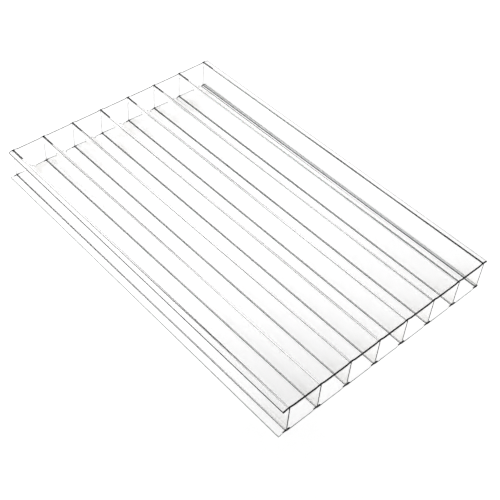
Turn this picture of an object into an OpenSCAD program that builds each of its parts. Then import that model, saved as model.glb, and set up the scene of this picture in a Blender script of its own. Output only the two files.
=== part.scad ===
// Offcut of clear twin-wall polycarbonate sheet: two thin skins joined by upright webs,
// with open cells running the whole length. One extruded piece, sawn square at both ends
// and sawn off just outside the outer webs along its long edges.
// X runs across the webs, Y along them, Z up. The origin is under the middle, on the surface it lies on.

/* [Sheet] */
// Length along the webs, between the two sawn ends
length = 118.5; // [60:0.5:400]
// Thickness over both skins, in the middle of a cell
thickness = 10; // [6:0.5:16]
// Number of webs
web_count = 8; // [3:1:24]
// Spacing of the webs, centre to centre
web_pitch = 10.5; // [8:0.5:20]

/* [Walls] */
// Wall of each skin in the middle of a cell
skin_t = 0.5; // [0.45:0.05:1]
// Wall of each web
web_t = 0.4; // [0.3:0.05:1]
// Radius where a web runs into the top skin
head_fillet_r = 0.5; // [0.2:0.05:1.2]
// Radius where a web runs into the bottom skin
foot_fillet_r = 0.65; // [0.2:0.05:1.2]

/* [Waves of the skins] */
// How much higher the top skin stands over a web than in the middle of a cell
ridge_h = 0.25; // [0:0.05:0.6]
// Half width of the level strip along the top of such a ridge
ridge_land = 0.8; // [0.2:0.1:1.5]
// How much higher a cell's floor stands beside a web than in its middle
foot_rise = 0.1; // [0:0.05:0.6]
// Width over which a skin eases from its level at a web to the one between two webs
ease_run = 1.3; // [0.5:0.1:2]

/* [Grooves in the underside] */
// Depth of the groove that a cooling web drew into the underside
groove_depth = 0.3; // [0.05:0.05:0.4]
// How far the middle of the groove lies left of the web's centre
groove_offset = 0.5; // [0:0.1:1.2]
// Half width of the groove's level bottom
groove_land = 0.3; // [0.1:0.1:1]
// Width of each of its flanks
groove_flank = 1; // [0.4:0.1:2]

/* [Sawn long edges] */
// From the first web's centre to the left edge, at the underside of the near end
flange_left = 2.65; // [1.5:0.05:4.5]
// From the last web's centre to the right edge, at the top of the far end
flange_right = 1.6; // [1.2:0.05:4.5]
// Angle by which the saw leaned off upright, in degrees
saw_lean = 3.5; // [0:0.5:4]
// How far the left edge wanders inwards from the near end to the far end
left_wander = 0.5; // [0:0.1:1]
// How far the right edge wanders outwards from the near end to the far end
right_wander = 0.2; // [0:0.1:0.3]

/* [Hidden] */

clear_colour = [0.90, 0.93, 0.94, 0.45];
ease_steps = 6;       // straight pieces in each S-curve of a skin

web_row = (web_count - 1) * web_pitch;
web_1_x = (flange_left - flange_right - web_row) / 2;
web_end_x = web_1_x + web_row;
webs = [for (k = [0 : web_count - 1]) web_1_x + k * web_pitch];
bays = concat([web_1_x - web_pitch], webs);    // every cell, and the one beyond each long edge
head_z = thickness + ridge_h;                  // top face at a web
ceiling_z = head_z - skin_t;                   // a cell's ceiling and floor, beside a web
floor_z = skin_t + foot_rise;
cell_w = web_pitch - web_t;

// 0 to 1 along an S-curve that starts and ends level
function ease(t) = (1 - cos(180 * t)) / 2;

function reversed(points) = [for (i = [len(points) - 1 : -1 : 0]) points[i]];

// A skin's surface from the web at x to the next. It has that level near the webs, as far as land from
// their centres, and lies lower by drop between them.
function wave(x, level, land, drop) = let (
        falls = [for (j = [0 : ease_steps])
            [land + ease_run * j / ease_steps, level - drop * ease(j / ease_steps)]]
    ) concat(
        [for (p = falls) [x + p.x, p.y]],
        [for (p = reversed(falls)) [x + web_pitch - p.x, p.y]]
    );

// The underside's groove at the web at x
function groove(x) = let (
        middle = x - groove_offset,
        flank = [for (j = [0 : ease_steps])
            [groove_land + groove_flank * j / ease_steps, groove_depth * (1 - ease(j / ease_steps))]]
    ) concat(
        [for (p = reversed(flank)) [middle - p.x, p.y]],
        [for (p = flank) [middle + p.x, p.y]]
    );

// The corner that a fillet of radius r fills, against walls along +X and +Y
module fillet(r) {
    difference() {
        square(r);
        translate([r, r]) circle(r, $fn = 48);
    }
}

// Fillets on both sides of the web at x: two at its foot, two at its head
module web_fillets(x) {
    for (side = [0, 1])
        translate([x, 0]) mirror([side, 0]) translate([web_t / 2, 0]) {
            translate([0, floor_z]) fillet(foot_fillet_r);
            translate([0, ceiling_z]) mirror([0, 1]) fillet(head_fillet_r);
        }
}

// Hollow between the web at x and the next one. Its floor and ceiling stay level as far as the fillets reach.
module cell(x) {
    left = x + web_t / 2;
    right = left + cell_w;
    polygon(concat(
        [[left, floor_z]], wave(x, floor_z, web_t / 2 + foot_fillet_r, foot_rise), [[right, floor_z]],
        [[right, ceiling_z]], reversed(wave(x, ceiling_z, web_t / 2 + head_fillet_r, ridge_h)),
        [[left, ceiling_z]]
    ));
}

// The stock's section, one cell wider on each side than the offcut
module section() {
    left = web_1_x - web_pitch;
    right = web_end_x + web_pitch;
    difference() {
        polygon(concat(
            [[left, 0]], [for (x = webs) each groove(x)], [[right, 0], [right, head_z]],
            reversed([for (x = bays) each wave(x, head_z, ridge_land, ridge_h)]),
            [[left, head_z]]
        ));
        for (x = bays) cell(x);
    }
    for (x = webs) web_fillets(x);
}

// What the saw took off along one long edge. The blade face passes through x at the height z of the near
// or far end, wanders along the length by drift, and leans so that the sheet's foot lies further left.
module saw_cut(x, y, z, drift, side) {
    depth = 2 * web_pitch + thickness;
    translate([x, y, z])
        rotate([0, 0, -atan(drift / length)])
            rotate([0, saw_lean, 0])
                translate([side < 0 ? -depth : 0, -length - depth, -depth])
                    cube([depth, 2 * (length + depth), 2 * depth]);
}

module sheet() {
    color(clear_colour)
        difference() {
            translate([0, length / 2, 0]) rotate([90, 0, 0]) linear_extrude(length) section();
            saw_cut(web_1_x - flange_left, -length / 2, 0, left_wander, -1);
            saw_cut(web_end_x + flange_right, length / 2, head_z, right_wander, 1);
        }
}

sheet();
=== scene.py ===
import math

import bmesh
import bpy
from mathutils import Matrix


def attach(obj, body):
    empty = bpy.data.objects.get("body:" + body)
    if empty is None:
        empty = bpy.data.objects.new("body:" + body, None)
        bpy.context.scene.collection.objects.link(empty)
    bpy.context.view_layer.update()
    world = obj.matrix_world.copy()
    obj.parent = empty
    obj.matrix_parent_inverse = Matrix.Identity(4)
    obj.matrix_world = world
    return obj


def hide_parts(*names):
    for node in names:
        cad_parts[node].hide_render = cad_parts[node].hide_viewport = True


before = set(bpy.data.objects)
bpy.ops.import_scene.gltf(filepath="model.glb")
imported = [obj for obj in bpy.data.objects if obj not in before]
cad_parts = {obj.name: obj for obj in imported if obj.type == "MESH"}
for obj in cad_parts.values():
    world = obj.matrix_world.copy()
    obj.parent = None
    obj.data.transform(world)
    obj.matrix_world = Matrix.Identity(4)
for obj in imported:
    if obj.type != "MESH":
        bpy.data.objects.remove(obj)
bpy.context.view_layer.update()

MM = 0.001

# The sheet's own sizes, in millimetres, as it was sawn from standard 10 mm stock.
LENGTH = 118.5
THICKNESS = 10.0
WEBS = 8
WEB_PITCH = 10.5
SKIN = 0.5
WEB = 0.4
HEAD_FILLET = 0.2
FOOT_FILLET = 0.4
RIDGE = 0.25
RIDGE_LAND = 0.2
FOOT_RISE = 0.1
EASE_RUN = 1.3
GROOVE = 0.3
GROOVE_OFFSET = 0.8
GROOVE_LAND = 0.3
GROOVE_FLANK = 1.0
FLANGE_LEFT = 2.65
FLANGE_RIGHT = 1.6
SAW_LEAN = math.radians(3.5)
LEFT_WANDER = 0.5
RIGHT_WANDER = 0.2

WEB_1_X = (FLANGE_LEFT - FLANGE_RIGHT - (WEBS - 1) * WEB_PITCH) / 2
WEB_XS = [WEB_1_X + k * WEB_PITCH for k in range(WEBS)]
WEB_END_X = WEB_XS[-1]
HEAD_Z = THICKNESS + RIDGE
CEILING_Z = HEAD_Z - SKIN
FLOOR_Z = SKIN + FOOT_RISE
HEAD_SEAT = WEB / 2 + HEAD_FILLET
FOOT_SEAT = WEB / 2 + FOOT_FILLET
FLANGE_STEPS = 10

STATIONS = 13
EASE_STEPS = 24
FILLET_STEPS = 24

# Sizes of the surface detail, in millimetres.
PLASTIC_IOR = 1.585
DIE_LINE = 1.2
DIE_LINE_STRETCH = 0.004
HANDLING_MARK = 14.0
DUST_REACH = 18.0
DUST_PATCH = 7.0
SAW_GRAIN = 0.9
SAW_MARK = 0.6
# Widths of the strips beside the near and far cuts where the skins take the cut's painted shade.
NEAR_SHADE_STRIP = 0.27
FAR_SHADE_STRIP = 0.3
CARD_FIBRE = 0.8


def linear(hex_colour):
    """An sRGB hex colour as the linear one that shaders take."""
    parts = [int(hex_colour[i:i + 2], 16) / 255 for i in (1, 3, 5)]
    return tuple(c / 12.92 if c <= 0.04045 else ((c + 0.055) / 1.055) ** 2.4 for c in parts) + (1.0,)


def add_node(tree, kind, settings=None, links=None):
    """A node of that kind with its attributes, colour stops or input values set, and its inputs linked."""
    node = tree.nodes.new(kind)
    for name, value in (settings or {}).items():
        if name == "stops":
            ramp = node.color_ramp.elements
            while len(ramp) < len(value):
                ramp.new(1.0)
            for element, (position, hex_colour) in zip(ramp, value):
                element.position, element.color = position, linear(hex_colour)
        elif isinstance(name, str) and hasattr(node, name):
            setattr(node, name, value)
        else:
            node.inputs[name].default_value = value
    for name, source in (links or {}).items():
        tree.links.new(source, node.inputs[name])
    return node


def ease(t):
    """0 to 1 along an S-curve that starts and ends level."""
    return (1 - math.cos(math.pi * min(max(t, 0.0), 1.0))) / 2


def wave_z(x, level, land, drop):
    """A skin's height: level as far as land from each web's centre, lower by drop between the webs."""
    t = (x - WEB_1_X) % WEB_PITCH
    return level - drop * ease((min(t, WEB_PITCH - t) - land) / EASE_RUN)


def top_z(x):
    return wave_z(x, HEAD_Z, RIDGE_LAND, RIDGE)


def ceiling_z(x):
    return wave_z(x, CEILING_Z, HEAD_SEAT, RIDGE)


def floor_z(x):
    return wave_z(x, FLOOR_Z, FOOT_SEAT, FOOT_RISE)


def underside_z(x):
    t = (x - WEB_1_X + GROOVE_OFFSET + WEB_PITCH / 2) % WEB_PITCH - WEB_PITCH / 2
    return GROOVE * (1 - ease((abs(t) - GROOVE_LAND) / GROOVE_FLANK))


def spread(a, b, steps):
    return [a + (b - a) * i / steps for i in range(steps + 1)]


def along(xs, height):
    return [(x, height(x)) for x in xs]


def arc(cx, cz, radius, start, turn, share=1.0):
    """Points of a quarter circle or the given share of it; start in quarters, turn 1 anticlockwise or -1."""
    return [(cx + radius * math.cos(math.pi / 2 * (start + turn * share * i / FILLET_STEPS)),
             cz + radius * math.sin(math.pi / 2 * (start + turn * share * i / FILLET_STEPS)))
            for i in range(FILLET_STEPS + 1)]


def bay_xs(x, land):
    """Places across one bay, from the web at x, close together where a skin bends."""
    falls = spread(land, land + EASE_RUN, EASE_STEPS)
    return [x + t for t in falls] + [x + WEB_PITCH / 2] + [x + WEB_PITCH - t for t in reversed(falls)]


def cell_outline(x):
    """The hollow right of the web at x, anticlockwise, with its four fillets."""
    foot, head = FLOOR_Z + FOOT_FILLET, CEILING_Z - HEAD_FILLET
    points = arc(x + FOOT_SEAT, foot, FOOT_FILLET, 2, 1)
    points += along(bay_xs(x, FOOT_SEAT)[1:-1], floor_z)
    points += arc(x + WEB_PITCH - FOOT_SEAT, foot, FOOT_FILLET, 3, 1)
    points += arc(x + WEB_PITCH - HEAD_SEAT, head, HEAD_FILLET, 0, 1)
    points += along(reversed(bay_xs(x, HEAD_SEAT)[1:-1]), ceiling_z)
    points += arc(x + HEAD_SEAT, head, HEAD_FILLET, 1, 1)
    return points


def left_edge(y, z):
    return (WEB_1_X - FLANGE_LEFT + LEFT_WANDER * (y / LENGTH + 0.5)
            + math.tan(SAW_LEAN) * z / math.cos(math.atan(LEFT_WANDER / LENGTH)))


def right_edge(y, z):
    return (WEB_END_X + FLANGE_RIGHT + RIGHT_WANDER * (y / LENGTH - 0.5)
            + math.tan(SAW_LEAN) * (z - HEAD_Z) / math.cos(math.atan(RIGHT_WANDER / LENGTH)))


def on_edge(edge, y, height):
    """Where a skin's surface meets a long edge."""
    z = height(edge(y, HEAD_Z))
    for _ in range(6):
        z = height(edge(y, z))
    return edge(y, z), z


def cut_share(cx, cz, radius, start, turn, y):
    """The share of a right-hand fillet that the saw left standing."""
    low, high = 0.0, 1.0
    for _ in range(30):
        s = (low + high) / 2
        a = math.pi / 2 * (start + turn * s)
        if cx + radius * math.cos(a) < right_edge(y, cz + radius * math.sin(a)):
            low = s
        else:
            high = s
    return low


def outer_outline(y):
    """The outside of the section at y, anticlockwise from the underside's left edge, and its sawn stretches."""
    left = [on_edge(left_edge, y, height) for height in (underside_z, floor_z, ceiling_z, top_z)]
    right = [on_edge(right_edge, y, height) for height in (underside_z, floor_z, ceiling_z, top_z)]
    points, sawn = [left[0]], []
    for x in WEB_XS:
        middle = x - GROOVE_OFFSET
        start = max(middle - GROOVE_LAND - GROOVE_FLANK, left[0][0] + 0.01)
        end = min(middle + GROOVE_LAND + GROOVE_FLANK, right[0][0])
        points += along(spread(start, middle - GROOVE_LAND, EASE_STEPS), underside_z)
        points += along(spread(middle + GROOVE_LAND, end, EASE_STEPS), underside_z)
    sawn.append(len(points) - 1)
    points.append(right[1])
    cx, cz = WEB_END_X + FOOT_SEAT, FLOOR_Z + FOOT_FILLET
    share = cut_share(cx, cz, FOOT_FILLET, 2, 1, y)
    if share < 0.99:
        sawn.append(len(points) - 1)
    points += reversed(arc(cx, cz, FOOT_FILLET, 2, 1, share))
    points += reversed(arc(WEB_END_X + HEAD_SEAT, CEILING_Z - HEAD_FILLET, HEAD_FILLET, 1, 1))
    points += along(spread(WEB_END_X + HEAD_SEAT, right[2][0], FLANGE_STEPS)[1:], ceiling_z)
    sawn.append(len(points) - 1)
    points += along(spread(right[3][0], WEB_END_X + RIDGE_LAND, FLANGE_STEPS), top_z)
    for x in reversed(WEB_XS[:-1]):
        points += along(reversed(bay_xs(x, RIDGE_LAND)), top_z)
    points += along(spread(WEB_1_X - RIDGE_LAND, left[3][0], FLANGE_STEPS), top_z)
    sawn.append(len(points) - 1)
    points += along(spread(left[2][0], WEB_1_X - HEAD_SEAT, FLANGE_STEPS)[:-1], ceiling_z)
    points += reversed(arc(WEB_1_X - HEAD_SEAT, CEILING_Z - HEAD_FILLET, HEAD_FILLET, 0, 1))
    points += reversed(arc(WEB_1_X - FOOT_SEAT, FLOOR_Z + FOOT_FILLET, FOOT_FILLET, 3, 1))
    points += along(spread(WEB_1_X - FOOT_SEAT, left[1][0], FLANGE_STEPS)[1:], floor_z)
    sawn.append(len(points) - 1)
    return points, sawn


def takes_cut_shade(a, b):
    """Whether a cut's painted shade reaches onto the skin between two points of the section: along the top and
    round each foot.
    """
    reach = max(abs((p.x - WEB_1_X + WEB_PITCH / 2) % WEB_PITCH - WEB_PITCH / 2) for p in (a, b))
    on_top = min(a.z, b.z) > CEILING_Z + SKIN / 2 - RIDGE / 2
    by_foot = max(a.z, b.z) < FLOOR_Z + FOOT_FILLET
    return on_top or by_foot and reach < 1.2


def make_sheet(extruded, crosscut, far_cut, rip_cut):
    """The whole sheet as one closed mesh: rings of the section at stations along it, and a cap at each end."""
    bm = bmesh.new()
    loops = [[] for _ in range(WEBS)]
    stations = spread(-LENGTH / 2, LENGTH / 2, STATIONS - 1)
    for y in stations[:1] + [stations[0] + NEAR_SHADE_STRIP] + stations[1:-1] + [stations[-1] - FAR_SHADE_STRIP] + stations[-1:]:
        outside, cuts = outer_outline(y)
        outlines = [outside] + [cell_outline(x)[::-1] for x in WEB_XS[:-1]]
        for loop, outline in zip(loops, outlines):
            loop.append([bm.verts.new((x * MM, y * MM, z * MM)) for x, z in outline])
    for number, loop in enumerate(loops):
        for near, far in zip(loop, loop[1:]):
            for i in range(len(near)):
                j = (i + 1) % len(near)
                face = bm.faces.new((near[i], near[j], far[j], far[i]))
                face.smooth = True
                # Painted shade: sawn stretches take the rip cut's painted material, and skins in a thin strip
                # beside each crosscut take that cut's painted-dark material.
                if number == 0 and i in cuts:
                    face.material_index = 2
                elif near is loop[0] and takes_cut_shade(near[i].co / MM, near[j].co / MM):
                    face.material_index = 1
                elif far is loop[-1] and takes_cut_shade(near[i].co / MM, near[j].co / MM):
                    face.material_index = 3
    for end, finish in ((0, 1), (-1, 3)):
        rings = [loop[end] for loop in loops]
        edges = [bm.edges.get((ring[i - 1], ring[i])) for ring in rings for i in range(len(ring))]
        made = bmesh.ops.triangle_fill(bm, use_beauty=True, edges=edges)
        for item in made["geom"]:
            if isinstance(item, bmesh.types.BMFace):
                item.material_index = finish
    bmesh.ops.recalc_face_normals(bm, faces=bm.faces[:])
    for e in bm.edges:
        if len({f.material_index for f in e.link_faces}) > 1:
            e.smooth = False
    mesh = bpy.data.meshes.new("sheet_extruded")
    bm.to_mesh(mesh)
    print("closed", all(len(e.link_faces) == 2 for e in bm.edges), "tris", sum(len(f.verts) - 2 for f in bm.faces), "volume mm3", bm.calc_volume() * 1e9)
    bm.free()
    for finish in (extruded, crosscut, rip_cut, far_cut):
        mesh.materials.append(finish)
    piece = bpy.data.objects.new("sheet_extruded", mesh)
    bpy.context.scene.collection.objects.link(piece)
    return piece


def polycarbonate(name, roughness, gloss, clearness):
    """Clear polycarbonate: the material, its node tree, its shader and places on the piece."""
    m = bpy.data.materials.new(name)
    m.use_nodes = True
    tree = m.node_tree
    tree.nodes.clear()
    shader = add_node(tree, "ShaderNodeBsdfPrincipled",
                      {"Roughness": roughness, "IOR": PLASTIC_IOR, "Specular IOR Level": gloss,
                       "Transmission Weight": clearness})
    add_node(tree, "ShaderNodeOutputMaterial", links={"Surface": shader.outputs["BSDF"]})
    place = add_node(tree, "ShaderNodeTexCoord").outputs["Object"]
    return m, tree, shader, place


def extruded_finish():
    """Clear polycarbonate from a polished die: glass-clear and glossy, with faint die lines along the sheet,
    a little handling haze on it, and fine saw dust left in the cells at the far end."""
    m, tree, shader, place = polycarbonate("clear polycarbonate, extruded", 0.0, 0.5, 1.0)
    drawn = add_node(tree, "ShaderNodeMapping", {"Scale": (1.0, DIE_LINE_STRETCH, 1.0)}, {"Vector": place})
    lines = add_node(tree, "ShaderNodeTexNoise", {"Scale": 1 / (DIE_LINE * MM), "Detail": 2.0},
                     {"Vector": drawn.outputs["Vector"]})
    bump = add_node(tree, "ShaderNodeBump", {"Strength": 0.04, "Distance": 0.02 * MM},
                    {"Height": lines.outputs["Fac"]})
    tree.links.new(bump.outputs["Normal"], shader.inputs["Normal"])
    marks = add_node(tree, "ShaderNodeTexNoise", {"Scale": 1 / (HANDLING_MARK * MM), "Detail": 6.0},
                     {"Vector": place})
    haze = add_node(tree, "ShaderNodeMapRange",
                    {"From Min": 0.55, "From Max": 0.8, "To Min": 0.0, "To Max": 0.05},
                    {"Value": marks.outputs["Fac"]})
    tree.links.new(haze.outputs["Result"], shader.inputs["Roughness"])
    parts = add_node(tree, "ShaderNodeSeparateXYZ", links={"Vector": place})
    far = add_node(tree, "ShaderNodeMapRange",
                   {"From Min": (LENGTH / 2 - DUST_REACH) * MM, "From Max": (LENGTH / 2 - 4) * MM},
                   {"Value": parts.outputs["Y"]})
    low = add_node(tree, "ShaderNodeMapRange", {"From Min": 3 * MM, "From Max": 1 * MM},
                   {"Value": parts.outputs["Z"]})
    cloud = add_node(tree, "ShaderNodeTexNoise", {"Scale": 1 / (DUST_PATCH * MM), "Detail": 3.0},
                     {"Vector": place})
    patch = add_node(tree, "ShaderNodeMapRange", {"From Min": 0.45, "From Max": 0.65},
                     {"Value": cloud.outputs["Fac"]})
    dusty = add_node(tree, "ShaderNodeMath", {"operation": "MULTIPLY"},
                     {0: far.outputs["Result"], 1: low.outputs["Result"]})
    dusty = add_node(tree, "ShaderNodeMath", {"operation": "MULTIPLY"},
                     {0: dusty.outputs["Value"], 1: patch.outputs["Result"]})
    faint = add_node(tree, "ShaderNodeMath", {"operation": "MULTIPLY", 1: 0.45}, {0: dusty.outputs["Value"]})
    # Webs greyed towards the near end, from just above the floor and fading out towards the top; added to the
    # far-end dust tint.
    near = add_node(tree, "ShaderNodeMapRange",
                    {"From Min": -49 * MM, "From Max": -58 * MM, "To Max": 0.45},
                    {"Value": parts.outputs["Y"]})
    over_floor = add_node(tree, "ShaderNodeMapRange", {"From Min": 0.7 * MM, "From Max": 1 * MM},
                          {"Value": parts.outputs["Z"]})
    under_half = add_node(tree, "ShaderNodeMapRange", {"From Min": 8 * MM, "From Max": 2 * MM},
                          {"Value": parts.outputs["Z"]})
    web_band = add_node(tree, "ShaderNodeMath", {"operation": "MULTIPLY"},
                        {0: over_floor.outputs["Result"], 1: under_half.outputs["Result"]})
    dusty = add_node(tree, "ShaderNodeMath", {"operation": "MULTIPLY_ADD"},
                     {0: web_band.outputs["Value"], 1: near.outputs["Result"], 2: faint.outputs["Value"]})
    tint = add_node(tree, "ShaderNodeValToRGB", {"stops": [(0.0, "#fefefe"), (1.0, "#dddbd6")]},
                    {"Fac": dusty.outputs["Value"]})
    tree.links.new(tint.outputs["Color"], shader.inputs["Base Color"])
    return m


def sawn_finish(name, foot, upright_painted_shade, clearness):
    """Polycarbonate cut by a fine saw, with painted shade: its colour is painted dark, most of all along the
    top skin and at the foot of each web, so the cut looks dark on a white ground; saw marks run across it."""
    m, tree, shader, place = polycarbonate(name, 0.45, 0.1, clearness)
    parts = add_node(tree, "ShaderNodeSeparateXYZ", links={"Vector": place})
    # Painted shade: the foot stops colour the cut across each web pitch low down, and the upright stops colour
    # it up its height.
    pitches = add_node(tree, "ShaderNodeMapRange",
                       {"clamp": False, "From Min": WEB_1_X * MM, "From Max": (WEB_1_X + WEB_PITCH) * MM},
                       {"Value": parts.outputs["X"]})
    across = add_node(tree, "ShaderNodeMath", {"operation": "FRACT"}, {0: pitches.outputs["Result"]})
    foot_shade = add_node(tree, "ShaderNodeValToRGB", {"stops": foot}, {"Fac": across.outputs["Value"]})
    rise = add_node(tree, "ShaderNodeMapRange", {"From Max": HEAD_Z * MM}, {"Value": parts.outputs["Z"]})
    shade = add_node(tree, "ShaderNodeValToRGB", {"stops": upright_painted_shade}, {"Fac": rise.outputs["Result"]})
    above = add_node(tree, "ShaderNodeMapRange", {"From Min": 0.9 * MM, "From Max": 1.4 * MM},
                     {"Value": parts.outputs["Z"]})
    tint = add_node(tree, "ShaderNodeMix", {"data_type": "RGBA"},
                    {0: above.outputs["Result"], 6: foot_shade.outputs["Color"], 7: shade.outputs["Color"]})
    grain = add_node(tree, "ShaderNodeTexNoise", {"Scale": 1 / (SAW_GRAIN * MM), "Detail": 4.0},
                     {"Vector": place})
    uneven = add_node(tree, "ShaderNodeValToRGB", {"stops": [(0.3, "#b4b4b4"), (0.7, "#ffffff")]},
                      {"Fac": grain.outputs["Fac"]})
    tint = add_node(tree, "ShaderNodeMix", {"data_type": "RGBA", "blend_type": "MULTIPLY", 0: 1.0},
                    {6: tint.outputs[2], 7: uneven.outputs["Color"]})
    tree.links.new(tint.outputs[2], shader.inputs["Base Color"])
    marks = add_node(tree, "ShaderNodeTexWave",
                     {"bands_direction": "Z", "Scale": 2 * math.pi / (20 * SAW_MARK * MM), "Distortion": 2.0},
                     {"Vector": place})
    bump = add_node(tree, "ShaderNodeBump", {"Strength": 0.3, "Distance": 0.05 * MM},
                    {"Height": marks.outputs["Fac"]})
    tree.links.new(bump.outputs["Normal"], shader.inputs["Normal"])
    rough = add_node(tree, "ShaderNodeMapRange", {"To Min": 0.35, "To Max": 0.6},
                     {"Value": grain.outputs["Fac"]})
    tree.links.new(rough.outputs["Result"], shader.inputs["Roughness"])
    return m


# Painted shade along the foot of a cut, darkest at each web, as shares of a web pitch right of each web.
CROSSCUT_FOOT_PAINTED_SHADE = [(0.0, "#101111"), (0.1, "#141515"), (0.16, "#5b5e5d"), (0.3, "#5b5e5d"), (0.36, "#aab0ad"),
                 (0.84, "#aab0ad"), (0.89, "#5b5e5d"), (0.91, "#101111")]
# Painted shade up a cut, darker along the top skin, as shares of the sheet's height.
CROSSCUT_UPRIGHT_PAINTED_SHADE = [(0.13, "#141515"), (0.17, "#5f6462"), (0.3, "#3a3d3c"), (0.5, "#1c1e1d"), (0.9, "#141515"),
                    (1.0, "#0d0e0e")]
# Painted shade for the far crosscut and the rip cuts, laid out the same way.
FAR_FOOT_PAINTED_SHADE = [(0.0, "#6c706e"), (0.12, "#a4a8a6"), (0.5, "#d2d6d4"), (0.88, "#a4a8a6"), (1.0, "#6c706e")]
FAR_UPRIGHT_PAINTED_SHADE = [(0.13, "#a0a5a2"), (0.3, "#c0c4c2"), (0.85, "#d2d6d4"), (0.93, "#161714"), (1.0, "#0e0f0d")]
RIP_FOOT_PAINTED_SHADE = [(0.0, "#d2d6d4"), (1.0, "#c4c8c6")]
RIP_UPRIGHT_PAINTED_SHADE = [(0.0, "#d6dad8"), (0.3, "#c0c4c2"), (0.9, "#3c3f39"), (1.0, "#343731")]

clear = extruded_finish()
# Each cut's material carries painted shade in its colour.
crosscut = sawn_finish("clear polycarbonate, near crosscut, painted shade", CROSSCUT_FOOT_PAINTED_SHADE, CROSSCUT_UPRIGHT_PAINTED_SHADE, 0.0)
far_cut = sawn_finish("clear polycarbonate, far crosscut, painted shade", FAR_FOOT_PAINTED_SHADE, FAR_UPRIGHT_PAINTED_SHADE, 0.0)
rip_cut = sawn_finish("clear polycarbonate, rip cut, painted shade", RIP_FOOT_PAINTED_SHADE, RIP_UPRIGHT_PAINTED_SHADE, 0.5)
sheet = make_sheet(clear, crosscut, far_cut, rip_cut)
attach(sheet, "root")
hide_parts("sheet")

# Floor
bm = bmesh.new()
bmesh.ops.create_grid(bm, x_segments=8, y_segments=8, size=40.0)
floor_mesh = bpy.data.meshes.new("floor")
bm.to_mesh(floor_mesh)
bm.free()
floor = bpy.data.objects.new("floor", floor_mesh)
bpy.context.scene.collection.objects.link(floor)
floor.location.z = -0.1 * MM
# Matt white card that glows and so lights the sheet from below, with painted shade: its glow falls off a little
# under the near left corner.
m = bpy.data.materials.new("glowing matt white card")
m.use_nodes = True
tree = m.node_tree
shader = tree.nodes["Principled BSDF"]
shader.inputs["Roughness"].default_value = 0.9
shader.inputs["Specular IOR Level"].default_value = 0.0
shader.inputs["Emission Color"].default_value = (1, 1, 1, 1)
place = add_node(tree, "ShaderNodeTexCoord").outputs["Object"]
parts = add_node(tree, "ShaderNodeSeparateXYZ", links={"Vector": place})
near = add_node(tree, "ShaderNodeMapRange", {"From Min": -4 * MM, "From Max": -52 * MM},
                {"Value": parts.outputs["Y"]})
left = add_node(tree, "ShaderNodeMapRange",
                {"From Min": -30 * MM, "From Max": 5 * MM, "To Min": 1.0, "To Max": 0.6},
                {"Value": parts.outputs["X"]})
fall = add_node(tree, "ShaderNodeMath", {"operation": "MULTIPLY"},
                {0: near.outputs["Result"], 1: left.outputs["Result"]})
glow = add_node(tree, "ShaderNodeMapRange", {"To Min": 1.2, "To Max": 0.88}, {"Value": fall.outputs["Value"]})
tree.links.new(glow.outputs["Result"], shader.inputs["Emission Strength"])
fibre = add_node(tree, "ShaderNodeTexNoise", {"Scale": 1 / (CARD_FIBRE * MM), "Detail": 4.0}, {"Vector": place})
card = add_node(tree, "ShaderNodeValToRGB", {"stops": [(0.3, "#f2f2f1"), (0.7, "#f8f8f8")]},
                {"Fac": fibre.outputs["Fac"]})
tree.links.new(card.outputs["Color"], shader.inputs["Base Color"])
floor_mesh.materials.append(m)

# Light
world = bpy.data.worlds.new("studio")
bpy.context.scene.world = world
world.use_nodes = True
world.node_tree.nodes["Background"].inputs["Color"].default_value = (0.14, 0.14, 0.14, 1)
world.node_tree.nodes["Background"].inputs["Strength"].default_value = 1.0

scene = bpy.context.scene
scene.view_settings.view_transform = "Standard"
scene.cycles.max_bounces = 40
scene.cycles.transmission_bounces = 40
scene.cycles.glossy_bounces = 12
scene.cycles.diffuse_bounces = 4

camera_data = bpy.data.cameras.new("camera")
camera_data.lens = 67.72
camera_data.sensor_width = 36
camera = bpy.data.objects.new("camera", camera_data)
camera.location = (-0.135425, -0.13967, 0.19328)
camera.rotation_euler = [math.radians(a) for a in (43.952, 356.743, 317.939)]
camera_data.clip_start = 0.01
scene.collection.objects.link(camera)
scene.camera = camera
